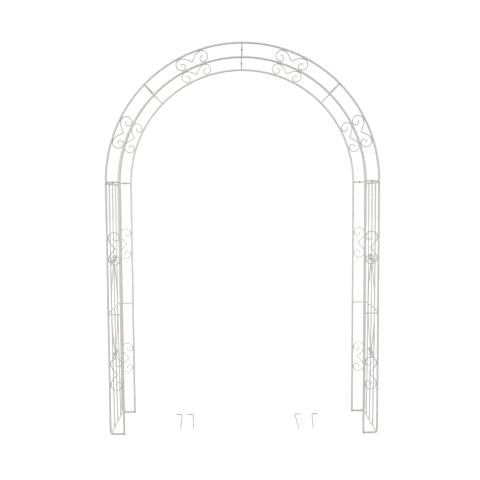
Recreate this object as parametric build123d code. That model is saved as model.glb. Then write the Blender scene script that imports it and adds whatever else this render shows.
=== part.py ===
from build123d import *

import math
import os

# A garden arch of welded and bolted steel: a front frame and a rear frame, each a ladder of an
# outer and an inner tube, joined by a trellis panel on each side. All sizes are in millimetres.
# X runs across the arch, Y from the front frame to the rear one, and Z up from the floor.

# Overall sizes
overall_height = 2200.0
overall_width = 1530.0
frame_spacing = 388.0  # front frame to rear frame, centre to centre
ladder_spacing = 78.0  # outer tube to inner tube, centre to centre

# Stock
tube_d = 12.0
tube_wall = 1.0
rod_d = 8.0  # ladder rails, spokes and trellis bars
rail_d = 10.0  # depth rails and ties
wire_d = 5.0  # scrolls and lyres
bar_thickness = 3.0  # flat bars that the frame's parts are bolted together by
bar_depth = 14.0
weld_gap = 0.05  # between a tube and what only touches it at a tangent

# Legs
foot_bend_r = 20.0  # centreline of the bend from the outer post to the bottom rail
foot_reach = 2.0  # how far the inner post stands below the bottom rail
mid_rail_z = 694.0

# Side panels
panel_mid_z = 704.0
panel_top_drop = 7.0  # top rail below the end of the posts

# Scrolls, each a wire bent like a 3
scroll_height = 188.0
scroll_apex_inset = 7.5  # from the middle of the ladder towards its inner tube
scroll_apex_slope = 43.5  # degrees between the ladder's tubes and the wire beside the apex
scroll_apex_r = 4.0
scroll_eye_r = 16.5
scroll_eye_turn = 196.0

# Lyres, each of four bowed wires with a curl at the end
lyre_curl_z = 277.0  # from the panel's middle rail to the middle of a curl
lyre_curl_r = 27.0
lyre_eye_r = 14.0
lyre_eye_turn = 200.0

# Bolts and nuts that join the flat bars in pairs
bolt_d = 6.0
bolt_hole_d = 6.6
bolt_head_across = 10.0
bolt_head_height = 4.0
nut_height = 3.2
bolt_end = 1.5  # thread that shows past the nut

# Screws through the outer tubes into the tapped ends of the depth rails and ties
screw_d = 5.0
screw_hole_d = 5.5
screw_head_d = 9.5
screw_head_height = 2.8
screw_socket_across = 3.0
screw_grip = 14.0  # thread inside the rail
screw_tap_spare = 3.0  # tapped hole past the screw's end
thread_gap = 0.05  # radial, between a thread and what it screws into

# Ground pegs, lying on the floor
peg_d = 6.0
peg_length = 260.0
peg_hook = 37.0
peg_bend_r = 9.0
peg_point = 14.0
peg_point_d = 1.6
# Each peg's bend: its place, its lean from the Y axis in degrees, and the side its hook points to
peg_places = {
    "left_outer_peg": (-380.0, 147.0, 2.8, -1),
    "left_inner_peg": (-313.0, 152.0, 4.6, -1),
    "right_inner_peg": (318.0, 144.0, 0.7, 1),
    "right_outer_peg": (425.0, 148.0, -4.6, 1),
}

# Worked out from the sizes above
arch_r = (overall_width - tube_d) / 2
inner_r = arch_r - ladder_spacing
ladder_r = (arch_r + inner_r) / 2
clear_width = ladder_spacing - tube_d
springing_z = overall_height - tube_d / 2 - arch_r
bottom_rail_z = foot_reach + tube_d / 2
bar_pitch = frame_spacing / 4

# The side panels' rails, each as its distance from the arch's middle and its height. The top and
# middle ones meet the posts, and the bottom one meets the middle of the foot bend.
half_turn_drop = foot_bend_r * (1 - math.sqrt(0.5))
panel_rails = {
    "top": (arch_r, springing_z - panel_top_drop),
    "mid": (arch_r, panel_mid_z),
    "bottom": (arch_r - half_turn_drop, bottom_rail_z + half_turn_drop),
}
# The ties meet the arch half-way from the springing to the crown.
tie_x = arch_r * math.sqrt(0.5)
tie_z = springing_z + tie_x

frames = {"front": -1, "rear": 1}
sides = {"left": -1, "right": 1}


def round_bar(path, diameter):
    """A round bar along a path, with its seam at 45 degrees, clear of what meets it square on."""
    section = Plane(origin=path @ 0, z_dir=path % 0) * Rot(0, 0, 45) * Circle(diameter / 2)
    return sweep(section, path=path)


def rod(start, end, diameter):
    """A straight round bar from start to end."""
    return round_bar(Line(start, end), diameter)


def hollow(path):
    """A tube along a path, and the solid it fills, which what is welded to it is cut back from."""
    filled = round_bar(path, tube_d)
    return filled - round_bar(path, tube_d - 2 * tube_wall), filled


def coped(bar, *others):
    """A bar cut to fit against others, without the crumbs that a cut past its end leaves."""
    for other in others:
        bar = bar - other
    return max(bar.solids(), key=lambda solid: solid.volume)


def bent_wire(start, heading, bends):
    """A path in the XY plane. A number runs straight on, and (radius, degrees) turns, left if positive."""
    edges = []
    point = Vector(*start)
    way = Vector(math.cos(math.radians(heading)), math.sin(math.radians(heading)))
    for bend in bends:
        if isinstance(bend, tuple):
            edge = JernArc(point, way, bend[0], bend[1])
        else:
            edge = Line(point, point + way * bend)
        edges.append(edge)
        point = edge @ 1
        way = edge % 1
    return Wire([edge.edge() for edge in edges])


def ladder_plane(side, y, angle):
    """The plane of a ladder at an angle up from the springing: its X points out, its Y along the ladder."""
    out = Vector(side * math.cos(angle), 0, math.sin(angle))
    along = Vector(-side * math.sin(angle), 0, math.cos(angle))
    return Plane(origin=(0, y, springing_z), x_dir=out, z_dir=out.cross(along))


def scroll_shape():
    """One scroll along Y, with its bows' middles at X = 0, and how far those are from its apex."""
    bow_r = (clear_width - wire_d) / 2 - weld_gap
    bow_y = (scroll_height - wire_d) / 2 - bow_r
    sine = math.sin(math.radians(scroll_apex_slope))
    cosine = math.cos(math.radians(scroll_apex_slope))
    # From the apex a straight run and a wide shoulder reach the bow where it touches the outer tube.
    across = bow_r + scroll_apex_inset
    shoulder_r = (bow_y * sine - across * cosine) / (1 - cosine)
    run = (across - shoulder_r * (1 - cosine)) / sine - scroll_apex_r * sine / cosine
    apex_x = -scroll_apex_inset + scroll_apex_r * (1 / cosine - 1)
    bends = [
        (scroll_apex_r, -scroll_apex_slope),
        run,
        (shoulder_r, scroll_apex_slope),
        (bow_r, 180),
        (scroll_eye_r, scroll_eye_turn),
    ]
    half = round_bar(bent_wire((apex_x, 0), 90, bends), wire_d)
    return half + mirror(half, about=Plane.XZ), bow_y


def lyre_shape():
    """One lyre wire up from the panel's middle rail at Y = 0, on the X > 0 side of the middle bar."""
    bow_x = bar_pitch - (rod_d + wire_d) / 2 - weld_gap
    curl_x = (rod_d + wire_d) / 2 + weld_gap + lyre_curl_r
    across = bow_x - curl_x
    bow_r = (lyre_curl_z**2 + across**2 - lyre_curl_r**2) / (2 * (across + lyre_curl_r))
    turn = math.degrees(math.atan2(lyre_curl_z, bow_r - across))
    # The wire ends square on top of the rail.
    foot_y = rail_d / 2 + weld_gap
    foot_x = bow_x - bow_r + math.sqrt(bow_r**2 - foot_y**2)
    lean = math.degrees(math.asin(foot_y / bow_r))
    bends = [(bow_r, turn - lean), (lyre_curl_r, -180 - turn), (lyre_eye_r, -lyre_eye_turn)]
    return round_bar(bent_wire((foot_x, foot_y), 90 + lean, bends), wire_d)


def hex_prism(across, height):
    """A hexagonal prism that stands on the XY plane."""
    return extrude(RegularPolygon(across / 2, 6, major_radius=False), height)


def joint_bolt():
    """A hexagon bolt along +Z: its head ends at Z = 0, where the first flat bar begins."""
    length = 2 * bar_thickness + nut_height + bolt_end
    head = Pos(0, 0, -bolt_head_height) * hex_prism(bolt_head_across, bolt_head_height)
    return head + Pos(0, 0, length / 2) * Cylinder(bolt_d / 2, length)


def joint_nut():
    """The nut of that bolt, against the second flat bar."""
    bore = Cylinder(bolt_d / 2 + thread_gap, 3 * nut_height)
    return Pos(0, 0, 2 * bar_thickness) * (hex_prism(bolt_head_across, nut_height) - bore)


def rail_screw():
    """A button-head screw along +Z with a hexagon socket: its head ends at Z = 0, on the tube."""
    length = tube_d + screw_grip
    head = Pos(0, 0, -screw_head_height / 2) * Cylinder(screw_head_d / 2, screw_head_height)
    head = fillet(head.edges().sort_by(Axis.Z)[0], 0.7 * screw_head_height)
    socket = Pos(0, 0, -screw_head_height) * hex_prism(screw_socket_across, 0.6 * screw_head_height)
    return head - socket + Pos(0, 0, length / 2) * Cylinder(screw_d / 2, length)


def flat_bar():
    """A flat bar between two tubes, on the XY plane, with its bolt hole."""
    bar = Box(clear_width - 2 * weld_gap, bar_depth, bar_thickness)
    return bar - Cylinder(bolt_hole_d / 2, 2 * bar_thickness)


def ground_peg(hook_side):
    """A peg lying along Y with the centre of its bend's corner at the origin."""
    shank = Line((0, peg_point - peg_length, 0), (0, -peg_bend_r, 0))
    bend = JernArc(shank @ 1, shank % 1, peg_bend_r, -90 * hook_side)
    hook = Line(bend @ 1, (hook_side * peg_hook, 0, 0))
    body = round_bar(Wire([shank.edge(), bend.edge(), hook.edge()]), peg_d)
    point = Plane(origin=shank @ 0, z_dir=(0, -1, 0)) * Cone(
        peg_d / 2, peg_point_d / 2, peg_point, align=(Align.CENTER, Align.CENTER, Align.MIN)
    )
    return body + point


def write(name, *solids):
    """Writes a node, with each of its pieces as a solid of its own."""
    pieces = [piece for solid in solids for piece in solid.solids()]
    export_step(Compound(children=pieces), f"parts/{name}.step")


os.makedirs("parts", exist_ok=True)

scroll, bow_y = scroll_shape()
bolts = []
nuts = []
screws = []
post_cores = {}
arch_cores = {}


def screw_plane(x, frame_side, z):
    """The plane of a screw's head on the outer face of a frame: its Z points at the other frame."""
    return Plane(
        origin=(x, frame_side * (frame_spacing + tube_d) / 2, z),
        x_dir=(1, 0, 0),
        z_dir=(0, -frame_side, 0),
    )


def screw_hole(x, frame_side, z):
    """The clearance hole through a tube for one of those screws."""
    return screw_plane(x, frame_side, z) * Cylinder(screw_hole_d / 2, 3 * tube_d)


def rail_core(x, z):
    """The round bar that a depth rail or tie is cut from, from one frame's middle to the other's."""
    return rod((x, -frame_spacing / 2, z), (x, frame_spacing / 2, z), rail_d)


for frame, frame_side in frames.items():
    y = frame_side * frame_spacing / 2
    for side, out in sides.items():
        name = f"{frame}_{side}"

        # The leg: the outer post turns into the bottom rail, which ends on the inner post.
        foot = FilletPolyline(
            (out * arch_r, y, springing_z),
            (out * arch_r, y, bottom_rail_z),
            (out * inner_r, y, bottom_rail_z),
            radius=foot_bend_r,
        )
        outer_post, outer_core = hollow(foot)
        inner_post, inner_core = hollow(Line((out * inner_r, y, springing_z), (out * inner_r, y, 0)))
        for x, z in panel_rails.values():
            outer_post = outer_post - screw_hole(out * x, frame_side, z)
            screws.append(screw_plane(out * x, frame_side, z) * rail_screw())
        write(f"{name}_outer_post", coped(outer_post, inner_core))
        write(f"{name}_inner_post", inner_post)
        post_cores[name] = outer_core

        mid_rail = rod((out * arch_r, y, mid_rail_z), (out * inner_r, y, mid_rail_z), rod_d)
        panel_rail = rail_core(out * arch_r, panel_mid_z)
        write(f"{name}_mid_rail", coped(mid_rail, outer_core, inner_core, panel_rail))
        write(f"{name}_top_bar", Pos(out * ladder_r, y, springing_z - bar_thickness / 2) * flat_bar())

        bays = ((bottom_rail_z + mid_rail_z) / 2, (mid_rail_z + springing_z) / 2)
        leg = ladder_plane(out, y, 0)
        write(
            f"{name}_leg_scrolls",
            *(leg * Pos(ladder_r, z - springing_z, 0) * scroll for z in bays),
        )

        # A quarter of the arch, from the springing to the crown
        start = 0 if out > 0 else 90
        upright = Plane(origin=(0, y, springing_z), x_dir=(1, 0, 0), z_dir=(0, -1, 0))
        arch_outer, arch_outer_core = hollow(upright * CenterArc((0, 0), arch_r, start, 90))
        arch_inner, arch_inner_core = hollow(upright * CenterArc((0, 0), inner_r, start, 90))
        write(f"{name}_arch_outer_tube", arch_outer - screw_hole(out * tie_x, frame_side, tie_z))
        write(f"{name}_arch_inner_tube", arch_inner)
        arch_cores[name] = arch_outer_core
        screws.append(screw_plane(out * tie_x, frame_side, tie_z) * rail_screw())

        spoke = ladder_plane(out, y, math.radians(45)) * rod((inner_r, 0, 0), (arch_r, 0, 0), rod_d)
        tie = rail_core(out * tie_x, tie_z)
        write(f"{name}_arch_spoke", coped(spoke, arch_outer_core, arch_inner_core, tie))
        write(
            f"{name}_arch_end_bars",
            Pos(out * ladder_r, y, springing_z + bar_thickness / 2) * flat_bar(),
            Pos(out * bar_thickness / 2, y, springing_z + ladder_r) * Rot(0, 90, 0) * flat_bar(),
        )
        # A scroll's bows are as far from the arch's centre as the middle of the ladder is.
        chord_r = math.sqrt(ladder_r**2 - bow_y**2)
        write(
            f"{name}_arch_scrolls",
            *(ladder_plane(out, y, math.radians(a)) * Pos(chord_r, 0, 0) * scroll for a in (22.5, 67.5)),
        )

        # Springing bolt: its head is on top at the front and underneath at the rear.
        springing = Plane(
            origin=(out * ladder_r, y, springing_z - frame_side * bar_thickness),
            x_dir=(1, 0, 0),
            z_dir=(0, 0, frame_side),
        )
        bolts.append(springing * joint_bolt())
        nuts.append(springing * joint_nut())

    # Crown bolt: its head is on the right at the front and on the left at the rear.
    crown = Plane(
        origin=(-frame_side * bar_thickness, y, springing_z + ladder_r),
        x_dir=(0, 0, 1),
        z_dir=(frame_side, 0, 0),
    )
    bolts.append(crown * joint_bolt())
    nuts.append(crown * joint_nut())


def depth_rail(x, z, front_core, rear_core):
    """A rail from the front frame to the rear one, fitted to their tubes and tapped at both ends."""
    rail = coped(rail_core(x, z), front_core, rear_core)
    depth = tube_d + screw_grip + screw_tap_spare
    for frame_side in frames.values():
        tap = Pos(0, 0, depth / 2) * Cylinder(screw_d / 2 + thread_gap, depth)
        rail = rail - screw_plane(x, frame_side, z) * tap
    return rail


for side, out in sides.items():
    cores = post_cores[f"front_{side}"], post_cores[f"rear_{side}"]
    for level, (x, z) in panel_rails.items():
        write(f"{side}_panel_{level}_rail", depth_rail(out * x, z, *cores))

    # Three bars above the middle rail and three below it, each welded to the rails it meets
    bars = []
    for low, high in (("bottom", "mid"), ("mid", "top")):
        (low_x, low_z), (high_x, high_z) = panel_rails[low], panel_rails[high]
        ends = rail_core(out * low_x, low_z), rail_core(out * high_x, high_z)
        for step in (-1, 0, 1):
            y = step * bar_pitch
            bars.append(coped(rod((out * low_x, y, low_z), (out * high_x, y, high_z), rod_d), *ends))
    write(f"{side}_panel_bars", *bars)

    middle = Plane(origin=(out * arch_r, 0, panel_mid_z), x_dir=(0, 1, 0), z_dir=(1, 0, 0))
    wire = lyre_shape()
    wires = [wire, mirror(wire, about=Plane.YZ)]
    wires += [mirror(each, about=Plane.XZ) for each in wires]
    write(f"{side}_panel_lyre", *(middle * each for each in wires))

    arches = arch_cores[f"front_{side}"], arch_cores[f"rear_{side}"]
    write(f"{side}_arch_tie", depth_rail(out * tie_x, tie_z, *arches))

write("joint_bolts", *bolts)
write("joint_nuts", *nuts)
write("rail_screws", *screws)

for name, (x, y, lean, hook_side) in peg_places.items():
    write(name, Pos(x, y, peg_d / 2) * Rot(0, 0, lean) * ground_peg(hook_side))
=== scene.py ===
# %% [markdown]
# # A garden arch of white coated steel
#
# The arch is a front frame and a rear frame of welded tube, with a trellis panel between them on
# each side. Tubes, rods, wires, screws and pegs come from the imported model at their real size, and
# nothing here moves them. What is added is what a workshop leaves on such an arch: weld beads where
# bars meet tubes, rolled edges on the flat bars, chamfered bolts and nuts, and the powder coat that
# goes over all of it.

# %% Load the frame
import math

import bmesh
import bpy
from mathutils import Matrix, Vector


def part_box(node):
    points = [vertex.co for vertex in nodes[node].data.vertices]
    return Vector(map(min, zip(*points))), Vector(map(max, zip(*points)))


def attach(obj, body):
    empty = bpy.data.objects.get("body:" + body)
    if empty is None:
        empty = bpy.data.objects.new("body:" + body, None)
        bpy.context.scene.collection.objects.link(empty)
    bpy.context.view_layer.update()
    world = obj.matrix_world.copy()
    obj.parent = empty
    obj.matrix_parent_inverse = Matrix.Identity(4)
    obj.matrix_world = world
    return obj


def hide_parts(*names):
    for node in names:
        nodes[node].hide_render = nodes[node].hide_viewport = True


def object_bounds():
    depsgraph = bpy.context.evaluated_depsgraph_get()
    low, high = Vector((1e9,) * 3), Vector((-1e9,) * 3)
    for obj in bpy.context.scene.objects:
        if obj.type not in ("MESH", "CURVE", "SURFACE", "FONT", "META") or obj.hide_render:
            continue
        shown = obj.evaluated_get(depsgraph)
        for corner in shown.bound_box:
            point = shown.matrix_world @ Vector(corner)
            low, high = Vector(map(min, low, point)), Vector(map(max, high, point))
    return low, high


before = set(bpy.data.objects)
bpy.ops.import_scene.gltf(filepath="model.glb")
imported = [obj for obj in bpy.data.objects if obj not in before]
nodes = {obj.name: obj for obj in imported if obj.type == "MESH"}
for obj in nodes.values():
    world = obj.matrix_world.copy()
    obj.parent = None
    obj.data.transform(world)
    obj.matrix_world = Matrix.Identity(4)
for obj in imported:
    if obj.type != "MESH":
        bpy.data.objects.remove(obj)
cad_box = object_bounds()
MM = 0.001  # one millimetre, since Blender works in metres here
print("nodes", len(nodes), "box", [round(v, 3) for corner in cad_box for v in corner])

# %% [markdown]
# ## Camera
#
# The arch is over two metres tall, and is seen from about four metres off, from just above eye
# height and almost square on. A lens of about 50 mm on a 36 mm sensor keeps the rear frame a little
# inside the front one. A camera looks along its own -Z, so it is turned up by 90 degrees first, and
# then by its pitch, which is below the horizon, its small yaw and its roll.

# %% Camera
CAMERA_PLACE = (-0.023, -3.920, 1.368)
CAMERA_YAW, CAMERA_PITCH, CAMERA_ROLL = -0.11, -3.96, 0.33  # degrees
CAMERA_LENS = 50.15

camera_data = bpy.data.cameras.new("camera")
camera_data.lens = CAMERA_LENS
camera_data.sensor_width = 36.0
camera = bpy.data.objects.new("camera", camera_data)
camera.matrix_world = (
    Matrix.Translation(CAMERA_PLACE)
    @ Matrix.Rotation(math.radians(CAMERA_YAW), 4, "Z")
    @ Matrix.Rotation(math.radians(90 + CAMERA_PITCH), 4, "X")
    @ Matrix.Rotation(math.radians(-CAMERA_ROLL), 4, "Z")
)
bpy.context.scene.collection.objects.link(camera)
bpy.context.scene.camera = camera
print("camera", [round(v, 3) for v in camera.location], "lens", CAMERA_LENS)

# %% [markdown]
# ## Sky and softboxes
#
# Thin white tubes show only by their shading, so the studio is white all round and the arch is a
# little darker than what is behind it. One even white sky does most of the lighting. Softboxes then
# give each tube a light side and a darker one: a warm one from the left and a weaker, cooler one
# from the right. A faint one between the two frames lifts the rear frame only, which makes it read
# as farther away. The softboxes are hidden from the camera, so no view shows them.

# %% Sky
bpy.context.scene.view_settings.view_transform = "Standard"
world = bpy.data.worlds.new("studio")
bpy.context.scene.world = world
world.use_nodes = True
SKY_WHITE = 1.02
world.node_tree.nodes["Background"].inputs["Color"].default_value = (1, 1, 1, 1)
world.node_tree.nodes["Background"].inputs["Strength"].default_value = SKY_WHITE
print("sky", SKY_WHITE)

# %% Lights


def softbox(name, place, target, size, watts, colour):
    """A square area light that faces its target."""
    data = bpy.data.lights.new(name, "AREA")
    data.size = size
    data.energy = watts
    data.color = colour
    lamp = bpy.data.objects.new(name, data)
    lamp.location = place
    lamp.rotation_euler = (Vector(target) - Vector(place)).to_track_quat("-Z", "Y").to_euler()
    lamp.visible_camera = False
    bpy.context.scene.collection.objects.link(lamp)
    print(name, watts, "W")


ARCH_MIDDLE = (cad_box[0] + cad_box[1]) / 2
SOFTBOXES = {
    "key_softbox": {
        "place": (-2.1, -0.5, 3.0),
        "target": (-0.5, 0, 1.7),
        "size": 1.6,
        "watts": 15,
        "colour": (1.0, 0.90, 0.80),
    },
    "fill_softbox": {
        "place": (2.6, -0.3, 1.5),
        "target": ARCH_MIDDLE,
        "size": 1.8,
        "watts": 4,
        "colour": (0.80, 0.93, 1.0),
    },
    "between_softbox": {
        "place": (-0.08, -0.12, 1.1),
        "target": (-0.08, 1, 1.1),
        "size": 1.2,
        "watts": 1.05,
        "colour": (1.0, 1.0, 1.0),
    },
}
for name, settings in SOFTBOXES.items():
    softbox(name, **settings)

# %% [markdown]
# ## Shader maths
#
# A finish is a graph of nodes, and most of its nodes are plain sums. Wiring them one by one hides
# what they say, so two small classes stand in for the wires. A Number is one output of a node, and
# adding or multiplying it lays a Math node behind it. A Finish owns the material and makes every
# other node. Patterns read Object coordinates, which are metres here, so a noise of scale 400 has
# grains of a few millimetres on every piece alike.

# %% Numbers of a finish


class Number:
    """A node's output that takes part in ordinary maths."""

    def __init__(self, finish, socket):
        self.finish = finish
        self.socket = socket

    def maths(self, operation, first, second):
        return self.finish.node("ShaderNodeMath", {"operation": operation}, {0: first, 1: second})

    def __add__(self, other):
        return self.maths("ADD", self, other)

    def __mul__(self, other):
        return self.maths("MULTIPLY", self, other)

    __radd__ = __add__
    __rmul__ = __mul__


# %% Finish


class Finish:
    """A material whose nodes are made by one method."""

    def __init__(self, name):
        self.material = bpy.data.materials.new(name)
        self.material.use_nodes = True
        self.tree = self.material.node_tree
        self.tree.nodes.clear()
        place = self.tree.nodes.new("ShaderNodeTexCoord")
        self.place = Number(self, place.outputs["Object"])

    def node(self, kind, settings=None, inputs=None, output=0):
        """Adds a node: its settings first, then the values or links of its sockets."""
        made = self.tree.nodes.new(kind)
        for key, value in (settings or {}).items():
            setattr(made, key, value)
        for key, value in (inputs or {}).items():
            if isinstance(value, Number):
                self.tree.links.new(value.socket, made.inputs[key])
            else:
                made.inputs[key].default_value = value
        return Number(self, made.outputs[output]) if made.outputs else made

    def noise(self, scale, detail=2.0, roughness=0.5):
        """A cloudy pattern from 0 to 1, with that many features to the metre."""
        sockets = {"Vector": self.place, "Scale": scale, "Detail": detail, "Roughness": roughness}
        return self.node("ShaderNodeTexNoise", {}, sockets)

    def ramp(self, value, low, high):
        """0 below low, 1 above high, and smooth between them."""
        sockets = {"Value": value, "From Min": low, "From Max": high}
        return self.node("ShaderNodeMapRange", {"interpolation_type": "SMOOTHSTEP"}, sockets)

    def blend(self, share, first, second):
        """From the first colour to the second as share goes from 0 to 1."""
        sockets = {0: share, 6: first, 7: second}
        return self.node("ShaderNodeMix", {"data_type": "RGBA"}, sockets, output=2)

    def height(self):
        """The height above the floor, in metres."""
        return self.node("ShaderNodeSeparateXYZ", {}, {0: self.place}, output=2)

    def bump(self, value, distance, strength=1.0):
        """Relief of that many metres from dark to light."""
        sockets = {"Height": value, "Distance": distance, "Strength": strength}
        return self.node("ShaderNodeBump", {}, sockets)

    def surface(self, **sockets):
        """Ends the tree in a Principled shader with these sockets."""
        named = {name.replace("_", " "): value for name, value in sockets.items()}
        shader = self.node("ShaderNodeBsdfPrincipled", {}, named)
        self.node("ShaderNodeOutputMaterial", {}, {0: shader})
        return self.material


# %% [markdown]
# ## White powder coat
#
# The coat is a polyester powder that is sprayed on dry and melted in an oven. It hides the steel's
# colour, but it dries with an orange peel of shallow bumps a few millimetres across, and it is a
# semi-gloss: a broad highlight runs along each tube. It could be one flat white, but then a close
# view shows plastic. Here the white drifts a little from place to place, the gloss drifts with it,
# and near the ground it has taken on some dust and a few scuffs. The bent wire is given a greyer
# white. The flat bars are greyer still, and that is painted shade: their coat is darkened to stand
# for the shade on their undersides.

# %% White powder coat
COAT = (0.810, 0.795, 0.775)
# A greyer white for the bent wire.
GREYER_COAT = (0.640, 0.625, 0.608)
# Painted shade: the flat bars' white is darkened to stand for the shade on their undersides.
SHADED_BAR_COAT = (0.525, 0.520, 0.510)
DIMMER = (0.955, 0.955, 0.965)  # the darker of a coat's two shades, as shares of the lighter
DUST = (0.47, 0.44, 0.39, 1)
DUST_TOP = 0.16  # metres above the floor
SPECK = (0.42, 0.40, 0.37, 1)
# How many features a pattern has to the metre
DRIFTS, PATCHES, DUST_GRAINS, SPECKS, PEEL = 3.5, 38, 130, 900, 420


def powder_coat(name, white, peel):
    """The coat in a given white, with its orange peel as so many metres of relief."""
    coat = Finish(name)
    drift = coat.noise(DRIFTS, detail=3)
    patch = coat.noise(PATCHES, detail=2)
    near_ground = coat.ramp(coat.height() * -1, -DUST_TOP, 0)
    dust = near_ground * coat.ramp(coat.noise(DUST_GRAINS, detail=4), 0.38, 0.72)
    shade = coat.ramp(drift * 0.7 + patch * 0.3, 0.36, 0.64)
    dim = tuple(channel * share for channel, share in zip(white, DIMMER))
    colour = coat.blend(shade, (*dim, 1), (*white, 1))
    colour = coat.blend(dust * 0.45, colour, DUST)
    speck = coat.ramp(coat.noise(SPECKS, detail=1), 0.70, 0.78)
    colour = coat.blend(speck * 0.16, colour, SPECK)
    return coat.surface(
        Base_Color=colour,
        Roughness=0.33 + patch * 0.10 + dust * 0.30,
        Normal=coat.bump(coat.noise(PEEL, detail=2, roughness=0.45), peel),
        Specular_IOR_Level=0.5,
    )


coat_white = powder_coat("white_powder_coat", COAT, 0.06 * MM)
coat_welds = powder_coat("coated_welds", COAT, 0.14 * MM)
coat_wires = powder_coat("coated_wires", GREYER_COAT, 0.05 * MM)
coat_bars_painted_shade = powder_coat("flat_bars_painted_shade", SHADED_BAR_COAT, 0.05 * MM)
print("coats", [coat.name for coat in (coat_white, coat_welds, coat_wires, coat_bars_painted_shade)])

# %% [markdown]
# ## Zinc and peg wire
#
# Bolts, nuts and screws are bright zinc plated after they are made, so they show a fine grain and a
# faint blue to yellow drift, and they are metal all through. The pegs are thicker wire with the same
# coat as the arch, but they get pushed into the ground, so the coat is thinner, duller and gone from
# the points.

# %% Zinc plate
BLUISH, STRAW = (0.80, 0.82, 0.84, 1), (0.86, 0.85, 0.80, 1)
ZINC_DRIFTS, ZINC_GRAINS = 240, 2600  # to the metre


def zinc_plate():
    """Bright zinc with a fine grain and a drift from bluish to straw."""
    zinc = Finish("zinc_fasteners")
    drift = zinc.noise(ZINC_DRIFTS, detail=2)
    grain = zinc.noise(ZINC_GRAINS, detail=2)
    return zinc.surface(
        Base_Color=zinc.blend(drift, BLUISH, STRAW),
        Metallic=1.0,
        Roughness=0.34 + grain * 0.16,
        Normal=zinc.bump(grain, 0.02 * MM, strength=0.6),
    )


zinc_finish = zinc_plate()

# %% Peg wire
PEG_DARK, PEG_LIGHT = (0.40, 0.405, 0.41, 1), (0.47, 0.475, 0.48, 1)
PEG_RUBBED = (0.24, 0.23, 0.22, 1)
PEG_DRIFTS, PEG_RUBS, PEG_PEEL = 14, 310, 520  # to the metre


def peg_wire():
    """A thin dull coat on wire, scratched by the ground."""
    wire = Finish("peg_wire")
    rub = wire.ramp(wire.noise(PEG_RUBS, detail=4), 0.60, 0.72)
    coat = wire.blend(wire.noise(PEG_DRIFTS, detail=2), PEG_DARK, PEG_LIGHT)
    return wire.surface(
        Base_Color=wire.blend(rub * 0.35, coat, PEG_RUBBED),
        Roughness=0.42 + rub * 0.12,
        Normal=wire.bump(wire.noise(PEG_PEEL, detail=2), 0.05 * MM),
    )


peg_finish = peg_wire()
print("other finishes", zinc_finish.name, peg_finish.name)

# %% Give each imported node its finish
finishes = {"white_powder_coat": coat_white, "zinc_fasteners": zinc_finish, "peg_wire": peg_finish}
FASTENERS = ("joint_bolts", "joint_nuts", "rail_screws")
BENT_WIRE = ("_scrolls", "_lyre")
for name, node in nodes.items():
    slot_name = "zinc_fasteners" if name in FASTENERS else "white_powder_coat"
    if name.endswith("_peg"):
        slot_name = "peg_wire"
    for slot in node.material_slots:
        slot.material = coat_wires if name.endswith(BENT_WIRE) else finishes[slot_name]
print("finished nodes", len(nodes))

# %% [markdown]
# ## Measures
#
# Nothing is placed by eye. The frame gives each tube's box, so the posts' middles, the springing
# line and the stock sizes are read from it, and a few sizes that a box can't give are named.

# %% Measures of the arch


def box_middle(node):
    """The middle of a node's box."""
    low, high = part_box(node)
    return (Vector(low) + Vector(high)) / 2


def box_size(node):
    """How far a node's box reaches along X, Y and Z."""
    low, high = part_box(node)
    return Vector(high) - Vector(low)


FRAMES = {"front": -1, "rear": 1}
SIDES = {"left": -1, "right": 1}
TUBE_R = box_size("front_right_inner_post").x / 2
ROD_R = box_size("front_right_mid_rail").y / 2
RAIL_R = box_size("right_panel_mid_rail").z / 2
WIRE_R = box_size("front_right_leg_scrolls").y / 2
BAR_THICKNESS = box_size("front_right_top_bar").z
INNER_X = box_middle("front_right_inner_post").x
OUTER_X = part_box("front_right_outer_post")[1][0] - TUBE_R
FRAME_Y = box_middle("rear_right_inner_post").y
SPRINGING_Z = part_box("front_right_inner_post")[1][2]
LADDER_X = (INNER_X + OUTER_X) / 2
print("tube, rod, rail and wire radii in mm", [round(r / MM, 2) for r in (TUBE_R, ROD_R, RAIL_R, WIRE_R)])
print("posts at", round(INNER_X, 4), round(OUTER_X, 4), "springing at", round(SPRINGING_Z, 4))

# %% Helpers for modelling


def only(piece):
    """Selects one object and nothing else, so that an operator acts on it alone."""
    bpy.ops.object.select_all(action="DESELECT")
    piece.select_set(True)
    bpy.context.view_layer.objects.active = piece


def choose(kind, test):
    """In edit mode, selects the vertices, edges or faces that pass a test."""
    bpy.ops.mesh.select_mode(type=kind)
    bpy.ops.mesh.select_all(action="DESELECT")
    mesh = bmesh.from_edit_mesh(bpy.context.edit_object.data)
    for part in {"VERT": mesh.verts, "EDGE": mesh.edges, "FACE": mesh.faces}[kind]:
        part.select_set(bool(test(part)))
    mesh.select_flush_mode()
    bmesh.update_edit_mesh(bpy.context.edit_object.data)


def rounded(piece, levels=1):
    """Applies subdivision, and says if the surface is closed."""
    only(piece)
    smooth = piece.modifiers.new("round", "SUBSURF")
    smooth.levels = smooth.render_levels = levels
    bpy.ops.object.modifier_apply(modifier=smooth.name)
    bpy.ops.object.shade_smooth()
    return report(piece)


def report(piece):
    """Turns the faces outwards and prints how many there are, and how many edges are open."""
    mesh = bmesh.new()
    mesh.from_mesh(piece.data)
    bmesh.ops.recalc_face_normals(mesh, faces=mesh.faces)
    is_open = sum(not edge.is_manifold for edge in mesh.edges)
    mesh.to_mesh(piece.data)
    mesh.free()
    print(piece.name, "faces", len(piece.data.polygons), "open edges", is_open)
    return piece


def place_at(origin, up, along):
    """The place whose Z points up and whose Y runs along."""
    z, y = Vector(up).normalized(), Vector(along).normalized()
    matrix = Matrix((y.cross(z), y, z)).transposed().to_4x4()
    matrix.translation = origin
    return matrix


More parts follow.
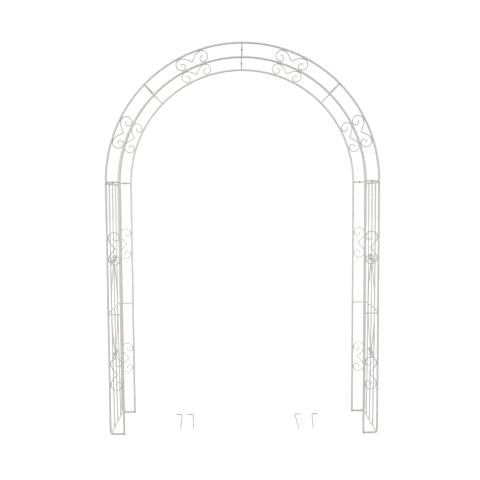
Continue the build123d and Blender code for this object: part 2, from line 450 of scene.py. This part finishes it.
def stamp(name, prints, finish):
    """Copies each pattern to its place and joins the copies into one piece of the arch."""
    bpy.ops.object.select_all(action="DESELECT")
    for shape, place in prints:
        made = bpy.data.objects.new(name, shape.data.copy())
        made.data.transform(place)
        bpy.context.scene.collection.objects.link(made)
        made.select_set(True)
        bpy.context.view_layer.objects.active = made
    if len(prints) > 1:
        bpy.ops.object.join()
    piece = bpy.context.view_layer.objects.active
    piece.name = piece.data.name = name
    piece.data.materials.clear()
    piece.data.materials.append(finish)
    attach(piece, "arch")
    print(name, "copies", len(prints), "faces", len(piece.data.polygons))
    return piece


patterns = []  # shapes that are copied and then thrown away


def pattern(piece, name):
    """Keeps a shape as a pattern."""
    piece.name = name
    patterns.append(piece)
    return piece


# %% [markdown]
# ## Ring welds
#
# Where a rod ends on a tube, the welder runs a bead all the way round it. The rod's end is cut to
# the tube's curve, so the bead isn't a flat ring but a saddle: it dips on both sides of the tube. A
# torus is the nearest primitive. Every other section of it is swollen, which reads as the ripples of
# the weld pool, and then each point drops by as much as the tube's surface does beneath it.

# %% Ring weld
BEAD_R = 1.5 * MM
RIPPLE = 0.36 * MM
RING_SECTIONS, BEAD_POINTS = 36, 8


def ring_weld(name, bar_r, tube_r):
    """A bead round a bar that stands along Z on a tube whose axis is Y."""
    bpy.ops.mesh.primitive_torus_add(
        major_radius=bar_r + BEAD_R / 3,
        minor_radius=BEAD_R,
        major_segments=RING_SECTIONS,
        minor_segments=BEAD_POINTS,
    )
    bead = bpy.context.object
    bpy.ops.object.mode_set(mode="EDIT")
    choose("VERT", lambda point: point.index // BEAD_POINTS % 2)
    bpy.ops.transform.shrink_fatten(value=RIPPLE)
    bpy.ops.object.mode_set(mode="OBJECT")
    for point in bead.data.vertices:
        beside = min(abs(point.co.x), 0.97 * tube_r)
        point.co.z += math.sqrt(tube_r**2 - beside**2)
    return pattern(rounded(bead), name)


rod_on_tube = ring_weld("rod_on_tube", ROD_R, TUBE_R)
rod_on_rail = ring_weld("rod_on_rail", ROD_R, RAIL_R)
tube_on_tube = ring_weld("tube_on_tube", TUBE_R, TUBE_R)
wire_on_rail = ring_weld("wire_on_rail", WIRE_R, RAIL_R)

# %% [markdown]
# ## Tack welds
#
# A scroll only touches its tubes at a tangent, so it is held by short tacks laid in the groove on
# each side of the wire. A tack is a grain of metal a few millimetres long, pointed at both ends and
# rippled across. A sphere drawn out along the wire has that shape, with every other ring squeezed.

# %% Tack weld
TACK_HALF = 4.6 * MM
TACK_R = 1.6 * MM
TACK_SEGMENTS, TACK_RINGS = 12, 12
TACK_WAIST = 0.86  # how far every other ring is squeezed
TACK_ASIDE, TACK_ABOVE = 0.92 * WIRE_R, 0.24 * WIRE_R  # from where the wire touches


def tack_weld(name, tube_r):
    """A pair of tacks on both sides of a wire that runs along Y on top of a tube."""
    bpy.ops.mesh.primitive_uv_sphere_add(
        segments=TACK_SEGMENTS, ring_count=TACK_RINGS, radius=1, rotation=(math.radians(90), 0, 0)
    )
    tack = bpy.context.object
    bpy.ops.object.transform_apply(rotation=True)
    bpy.ops.object.mode_set(mode="EDIT")

    def odd_ring(point):
        turn = math.acos(max(-1.0, min(1.0, point.co.y)))
        return round(turn / math.pi * TACK_RINGS) % 2

    choose("VERT", odd_ring)
    bpy.ops.transform.resize(value=(TACK_WAIST, 1, TACK_WAIST))
    bpy.ops.mesh.select_all(action="SELECT")
    bpy.ops.transform.resize(value=(TACK_R, TACK_HALF, TACK_R))
    bpy.ops.transform.translate(value=(TACK_ASIDE, 0, tube_r + TACK_ABOVE))
    bpy.ops.mesh.duplicate()
    bpy.ops.transform.translate(value=(-2 * TACK_ASIDE, 0, 0))
    bpy.ops.object.mode_set(mode="OBJECT")
    return pattern(rounded(tack), name)


wire_along_tube = tack_weld("wire_along_tube", TUBE_R)
wire_along_rod = tack_weld("wire_along_rod", ROD_R)

# %% [markdown]
# ## Welds of the flat bars
#
# A flat bar is wider than the tube that it meets, so it touches it only in the middle, and the weld
# fills the wedge on both sides. It is laid on the outer face alone, because the other face has to
# lie flat on the bar of the next part. This bead is a small disc spun part of the way round the
# tube, which is the plainest way to make a curved bar with closed ends.

# %% Flat bar weld
ARC_HALF = 34  # degrees to each side of the bar's middle
ARC_STEPS = 12


def arc_weld(name):
    """A bead part of the way round a tube along Z, centred on X."""
    start = math.radians(-ARC_HALF)
    reach = TUBE_R + BEAD_R / 3
    bpy.ops.mesh.primitive_circle_add(
        vertices=BEAD_POINTS,
        radius=BEAD_R,
        fill_type="NGON",
        location=(reach * math.cos(start), reach * math.sin(start), 0),
        rotation=(math.radians(90), 0, start),
    )
    bead = bpy.context.object
    bpy.ops.object.transform_apply(location=True, rotation=True)
    bpy.ops.object.mode_set(mode="EDIT")
    bpy.ops.mesh.select_all(action="SELECT")
    bpy.ops.mesh.spin(
        steps=ARC_STEPS, angle=math.radians(2 * ARC_HALF), center=(0, 0, 0), axis=(0, 0, 1)
    )

    def swollen(point):
        turn = math.degrees(math.atan2(point.co.y, point.co.x)) + ARC_HALF
        return round(turn / (2 * ARC_HALF) * ARC_STEPS) % 2

    choose("VERT", swollen)
    bpy.ops.transform.shrink_fatten(value=RIPPLE)
    bpy.ops.object.mode_set(mode="OBJECT")
    return pattern(rounded(bead), name)


bar_on_tube = arc_weld("bar_on_tube")

# %% [markdown]
# ## Laying the welds
#
# The beads are patterns, and each is copied to every place where two pieces meet. A place is a
# matrix: where the bead sits, which way is out of the tube, and which way the tube runs. Posts,
# rails and bars are straight, so their places come from the measures, and those of the arch from a
# turn about the middle of the springing line. The places are worked out a leg, a quarter of the arch
# and a panel at a time, and each lot is joined into one piece, as it would come from the welder.

# %% Where the welds of a leg are
SCROLL_HEIGHT = 188 * MM
scroll_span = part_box("front_right_leg_scrolls")
CLEAR_HALF = (OUTER_X - INNER_X) / 2 - TUBE_R
BOW_AT = SCROLL_HEIGHT / 2 - CLEAR_HALF  # from a scroll's middle to the middle of each bow
BAYS = (scroll_span[0][2] + SCROLL_HEIGHT / 2, scroll_span[1][2] - SCROLL_HEIGHT / 2)
X_AXIS, Y_AXIS, Z_AXIS = Vector((1, 0, 0)), Vector((0, 1, 0)), Vector((0, 0, 1))


def facing(sign):
    """No turn for a bead that faces +X, and half a turn for one that faces -X."""
    return Matrix.Rotation(0 if sign > 0 else math.pi, 4, "Z")


def leg_welds(name, side, y):
    """The welds of one leg: its rails, its flat bar and its two scrolls."""
    outer, inner = side * OUTER_X, side * INNER_X
    inwards = {outer: -side * X_AXIS, inner: side * X_AXIS}
    rail_z = box_middle(f"{name}_mid_rail").z
    foot_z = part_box(f"{name}_outer_post")[0][2] + TUBE_R
    prints = [(tube_on_tube, place_at((inner, y, foot_z), side * X_AXIS, Z_AXIS))]
    for x, way in inwards.items():
        prints.append((rod_on_tube, place_at((x, y, rail_z), way, Z_AXIS)))
        under = SPRINGING_Z - BAR_THICKNESS - BEAD_R / 3
        prints.append((bar_on_tube, Matrix.Translation((x, y, under)) @ facing(way.x)))
        for bay in BAYS:
            for bow in (-BOW_AT, BOW_AT):
                prints.append((wire_along_tube, place_at((x, y, bay + bow), way, Z_AXIS)))
    return stamp(f"{name}_leg_welds", prints, coat_welds)


# %% Where the welds of an arch quarter are
SPOKE_TURN = math.radians(45)
SCROLL_TURNS = [math.radians(turn) for turn in (22.5, 67.5)]
BOW_TURN = math.asin(BOW_AT / LADDER_X)


def arch_place(side, y, radius, turn):
    """A point of the arch, with the ways out from the arch's middle and along its tube there."""
    out = Vector((side * math.cos(turn), 0, math.sin(turn)))
    along = Vector((-side * math.sin(turn), 0, math.cos(turn)))
    return Vector((0, y, SPRINGING_Z)) + radius * out, out, along


def arch_welds(name, side, y):
    """The welds of a quarter of the arch: its spoke, its two flat bars and its two scrolls."""
    prints = []
    for radius, sign in ((OUTER_X, -1), (INNER_X, 1)):
        origin, out, along = arch_place(side, y, radius, SPOKE_TURN)
        prints.append((rod_on_tube, place_at(origin, sign * out, along)))
        for turn in SCROLL_TURNS:
            for bow in (-BOW_TURN, BOW_TURN):
                origin, out, along = arch_place(side, y, radius, turn + bow)
                prints.append((wire_along_tube, place_at(origin, sign * out, along)))
        # The flat bars' beads lie past the bar from the joint, at the springing and the crown.
        past = BAR_THICKNESS + BEAD_R / 3
        springing = Matrix.Translation((side * radius, y, SPRINGING_Z + past))
        prints.append((bar_on_tube, springing @ facing(sign * side)))
        crown = place_at((side * past, y, SPRINGING_Z + radius), X_AXIS, Y_AXIS)
        prints.append((bar_on_tube, crown @ facing(-sign)))
    return stamp(f"{name}_arch_welds", prints, coat_welds)


# %% Lay the welds of the frames
for frame_name, frame_side in FRAMES.items():
    for side_name, side in SIDES.items():
        leg_welds(f"{frame_name}_{side_name}", side, frame_side * FRAME_Y)
        arch_welds(f"{frame_name}_{side_name}", side, frame_side * FRAME_Y)

# %% Where the welds of a trellis panel are
LYRE_CURL_Z = 277 * MM
BAR_PITCH = FRAME_Y / 2


def panel_welds(name, side):
    """The welds of a side panel: both ends of its six bars, and its lyres."""
    bottom, mid, top = (box_middle(f"{name}_panel_{level}_rail") for level in ("bottom", "mid", "top"))
    prints = []
    for low, high in ((bottom, mid), (mid, top)):
        rise = (high - low).normalized()
        for step in (-1, 0, 1):
            y = Vector((0, step * BAR_PITCH, 0))
            prints.append((rod_on_rail, place_at(low + y, rise, Y_AXIS)))
            prints.append((rod_on_rail, place_at(high + y, -rise, Y_AXIS)))
    for up in (-1, 1):
        # A curl touches the middle bar on both sides, and a bow starts beside each outer bar.
        curl = mid + up * LYRE_CURL_Z * Z_AXIS
        if up < 0:
            curl.x += (bottom.x - mid.x) * LYRE_CURL_Z / (mid.z - bottom.z)
        for across in (-1, 1):
            prints.append((wire_along_rod, place_at(curl, across * Y_AXIS, Z_AXIS)))
            foot = mid + across * (BAR_PITCH - ROD_R - WIRE_R) * Y_AXIS
            prints.append((wire_on_rail, place_at(foot, up * Z_AXIS, Y_AXIS)))
    return stamp(f"{name}_panel_welds", prints, coat_welds)


for side_name, side in SIDES.items():
    panel_welds(side_name, side)

# %% [markdown]
# ## Wire ends
#
# The scrolls' wires are sheared off square, and the coat draws back from the sharp rim and leaves a
# low dome on the end. The ends are found in the meshes: a sheared end's rim is the only sharp
# edge that a bent wire has. Each end gets the cap of a flattened sphere.

# %% Wire ends
DOME_HEIGHT = 0.9 * MM


def wire_dome():
    """A low dome on the end of a wire that comes up along Z."""
    bpy.ops.mesh.primitive_uv_sphere_add(segments=24, ring_count=14, radius=WIRE_R)
    dome = bpy.context.object
    bpy.ops.object.mode_set(mode="EDIT")
    bpy.ops.mesh.select_all(action="SELECT")
    bpy.ops.transform.resize(value=(0.998, 0.998, DOME_HEIGHT / WIRE_R))
    cut = (0, 0, -0.1 * DOME_HEIGHT)
    bpy.ops.mesh.bisect(plane_co=cut, plane_no=(0, 0, 1), use_fill=True, clear_inner=True)
    bpy.ops.object.mode_set(mode="OBJECT")
    only(dome)
    bpy.ops.object.shade_smooth_by_angle(angle=math.radians(50))
    return pattern(report(dome), "wire_dome")


def cut_ends(node):
    """The middle and the outward way of each sheared wire end in a node."""
    mesh = bmesh.new()
    mesh.from_mesh(node.data)
    bmesh.ops.remove_doubles(mesh, verts=mesh.verts, dist=0.002 * MM)
    rims = {edge for edge in mesh.edges if edge.calc_face_angle(0) > math.radians(60)}
    ends = []
    while rims:
        rim, fresh = set(), [rims.pop()]
        while fresh:
            edge = fresh.pop()
            rim.add(edge)
            beside = {other for point in edge.verts for other in point.link_edges if other in rims}
            rims -= beside
            fresh += beside
        points = [edge.verts[0].co for edge in rim]
        middle = sum(points, Vector()) / len(points)
        # The wire's own faces round the rim cancel out, so what is left points out of the end.
        out = sum((face.normal for edge in rim for face in edge.link_faces), Vector()).normalized()
        ends.append((middle, out))
    mesh.free()
    return ends


dome = wire_dome()
for node_name in [name for name in nodes if name.endswith(BENT_WIRE)]:
    prints = []
    for middle, out in cut_ends(nodes[node_name]):
        aside = Y_AXIS if abs(out.y) < 0.5 else Z_AXIS
        aside = (aside - aside.dot(out) * out).normalized()
        # A lyre's lower ends are welded to the rail, so only its curls get a dome.
        if "lyre" not in node_name or abs(middle.z - box_middle(node_name).z) > 4 * RAIL_R:
            prints.append((dome, place_at(middle, out, aside)))
    stamp(f"{node_name}_ends", prints, coat_wires)

# %% [markdown]
# ## Rolled flat bars
#
# Flat bar comes from the mill with soft edges, and its drilled hole is deburred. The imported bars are
# right in shape but knife-sharp, so each is copied, its loose triangles merged and cleaned, and its
# sharp edges bevelled by under half a millimetre. That is enough to catch a line of light.

# %% Rolled flat bars
EDGE_R = 0.45 * MM


def rolled_bars(name):
    """A copy of a node of flat bars with soft edges, which stands for it."""
    bars = bpy.data.objects.new(f"{name}_rolled", nodes[name].data.copy())
    bpy.context.scene.collection.objects.link(bars)
    only(bars)
    bpy.ops.object.mode_set(mode="EDIT")
    bpy.ops.mesh.select_all(action="SELECT")
    bpy.ops.mesh.remove_doubles(threshold=0.01 * MM)
    bpy.ops.mesh.customdata_custom_splitnormals_clear()
    bpy.ops.mesh.dissolve_limited(angle_limit=math.radians(1))
    choose("EDGE", lambda edge: edge.calc_face_angle(0) > math.radians(60))
    bpy.ops.mesh.bevel(offset=EDGE_R, segments=3, affect="EDGES")
    bpy.ops.object.mode_set(mode="OBJECT")
    bpy.ops.object.shade_smooth_by_angle(angle=math.radians(35))
    bars.data.materials.clear()
    # The bars get the darkened coat, which is painted shade.
    bars.data.materials.append(coat_bars_painted_shade)
    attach(bars, "arch")
    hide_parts(name)
    return report(bars)


for node_name in [name for name in nodes if name.endswith(("_top_bar", "_end_bars"))]:
    rolled_bars(node_name)

# %% [markdown]
# ## Bolts and nuts
#
# A hexagon head is turned round first and then given its flats, so its corners end in small curved
# chamfers. The same order works here: a short cylinder as wide as the corners gets its rim bevelled,
# and six cuts, each filled, take it down to the flats. The shank is drawn out of the head, and its
# thread is a stack of shallow grooves, which at this size can't be told from a helix.

# %% Hexagon blank
BOLT_R = 3 * MM
ACROSS_FLATS = 10 * MM
HEAD_HEIGHT = 4 * MM
NUT_HEIGHT = 3.2 * MM
BOLT_END = 1.5 * MM
THREAD_PITCH = 1.0 * MM
THREAD_ROOT = 0.86  # of the thread's outer radius
CORNER_R = ACROSS_FLATS / math.sqrt(3)
CHAMFER = 0.17 * CORNER_R


def hexagon(name, height):
    """A chamfered hexagon that stands on Z = 0. Its ends stay round inside the chamfers."""
    bpy.ops.mesh.primitive_cylinder_add(
        vertices=48, radius=CORNER_R, depth=height, location=(0, 0, height / 2)
    )
    blank = bpy.context.object
    bpy.ops.object.transform_apply(location=True)
    bpy.ops.object.mode_set(mode="EDIT")
    choose("EDGE", lambda edge: abs(edge.verts[0].co.z - edge.verts[1].co.z) < 0.01 * MM)
    bpy.ops.mesh.bevel(offset=CHAMFER, segments=1, affect="EDGES")
    for flat in range(6):
        turn = math.radians(60 * flat)
        way = Vector((math.cos(turn), math.sin(turn), 0))
        bpy.ops.mesh.select_all(action="SELECT")
        bpy.ops.mesh.bisect(
            plane_co=way * ACROSS_FLATS / 2, plane_no=way, use_fill=True, clear_outer=True
        )
    bpy.ops.object.mode_set(mode="OBJECT")
    blank.name = name
    return blank


# %% Bolt and nut patterns


def hex_bolt():
    """A bolt along +Z whose head ends at Z = 0."""
    bolt = hexagon("hex_bolt", HEAD_HEIGHT)
    only(bolt)
    bpy.ops.object.mode_set(mode="EDIT")
    choose("FACE", lambda face: face.normal.z > 0.99)
    bpy.ops.mesh.inset(thickness=CORNER_R - CHAMFER - BOLT_R)
    grip = 2 * BAR_THICKNESS
    bpy.ops.mesh.extrude_region_move(TRANSFORM_OT_translate={"value": (0, 0, grip)})
    turns = round((NUT_HEIGHT + BOLT_END) / THREAD_PITCH)
    step = (NUT_HEIGHT + BOLT_END) / (2 * turns)
    for turn in range(turns):
        for share in (THREAD_ROOT, 1 / THREAD_ROOT):
            bpy.ops.mesh.extrude_region_move(TRANSFORM_OT_translate={"value": (0, 0, step)})
            bpy.ops.transform.resize(value=(share, share, 1))
    bpy.ops.mesh.inset(thickness=0.12 * BOLT_R)
    bpy.ops.mesh.select_all(action="SELECT")
    bpy.ops.transform.translate(value=(0, 0, -HEAD_HEIGHT))
    bpy.ops.object.mode_set(mode="OBJECT")
    only(bolt)
    bpy.ops.object.shade_smooth_by_angle(angle=math.radians(28))
    return pattern(report(bolt), "hex_bolt")


def hex_nut():
    """The nut of that bolt, standing on Z = 0, bored through."""
    nut = hexagon("hex_nut", NUT_HEIGHT)
    only(nut)
    bpy.ops.object.mode_set(mode="EDIT")
    choose("FACE", lambda face: abs(face.normal.z) > 0.99)
    bpy.ops.mesh.inset(thickness=CORNER_R - CHAMFER - 1.25 * BOLT_R)
    bpy.ops.mesh.inset(thickness=0.2 * BOLT_R, depth=-0.15 * BOLT_R)
    bpy.ops.mesh.bridge_edge_loops()
    bpy.ops.object.mode_set(mode="OBJECT")
    only(nut)
    bpy.ops.object.shade_smooth_by_angle(angle=math.radians(28))
    return pattern(report(nut), "hex_nut")


bolt, nut = hex_bolt(), hex_nut()

# %% Bolts and nuts in their joints
# A springing bolt's head is on top at the front and underneath at the rear. A crown bolt's head is
# on the right at the front and on the left at the rear.
joints = []
for frame_side in FRAMES.values():
    y = frame_side * FRAME_Y
    for side in SIDES.values():
        springing = Vector((side * LADDER_X, y, SPRINGING_Z))
        joints.append(place_at(springing, frame_side * Z_AXIS, X_AXIS))
    joints.append(place_at((0, y, SPRINGING_Z + LADDER_X), frame_side * X_AXIS, Z_AXIS))
at_head = Matrix.Translation((0, 0, -BAR_THICKNESS))
at_nut = Matrix.Translation((0, 0, BAR_THICKNESS))
bolts = stamp("hex_bolts", [(bolt, place @ at_head) for place in joints], zinc_finish)
nuts = stamp("hex_nuts", [(nut, place @ at_nut) for place in joints], zinc_finish)
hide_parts("joint_bolts")
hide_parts("joint_nuts")

# %% Throw the patterns away
print("patterns thrown away", len(patterns))
for shape in patterns:
    bpy.data.objects.remove(shape)

# %% [markdown]
# ## Floor
#
# The floor is a plain pale sheet, so large that its edge is past the horizon. A floor lit like the
# arch would show where it ends and would throw its own light up under every tube. So what the eye
# sees of it is a steady glow as white as the sky, and what the arch gets from it is the light of a
# matt grey sheet, which keeps the undersides a little darker than the tops.

# %% Floor
FLOOR_SIZE = 60
FLOOR_GLOW = 0.85
FLOOR_GREY = (0.30, 0.30, 0.30, 1)
bpy.ops.object.select_all(action="DESELECT")
bpy.ops.mesh.primitive_plane_add(size=FLOOR_SIZE)
floor = bpy.context.object
floor.name = "floor"
pale = Finish("pale_floor")
seen = pale.node("ShaderNodeLightPath")
glow = pale.node("ShaderNodeEmission", {}, {"Strength": seen * FLOOR_GLOW})
matt = pale.node("ShaderNodeBsdfDiffuse", {}, {"Color": FLOOR_GREY})
both = pale.node("ShaderNodeAddShader", {}, {0: glow, 1: matt})
pale.node("ShaderNodeOutputMaterial", {}, {0: both})
floor.data.materials.append(pale.material)
print("floor", FLOOR_SIZE, "m")
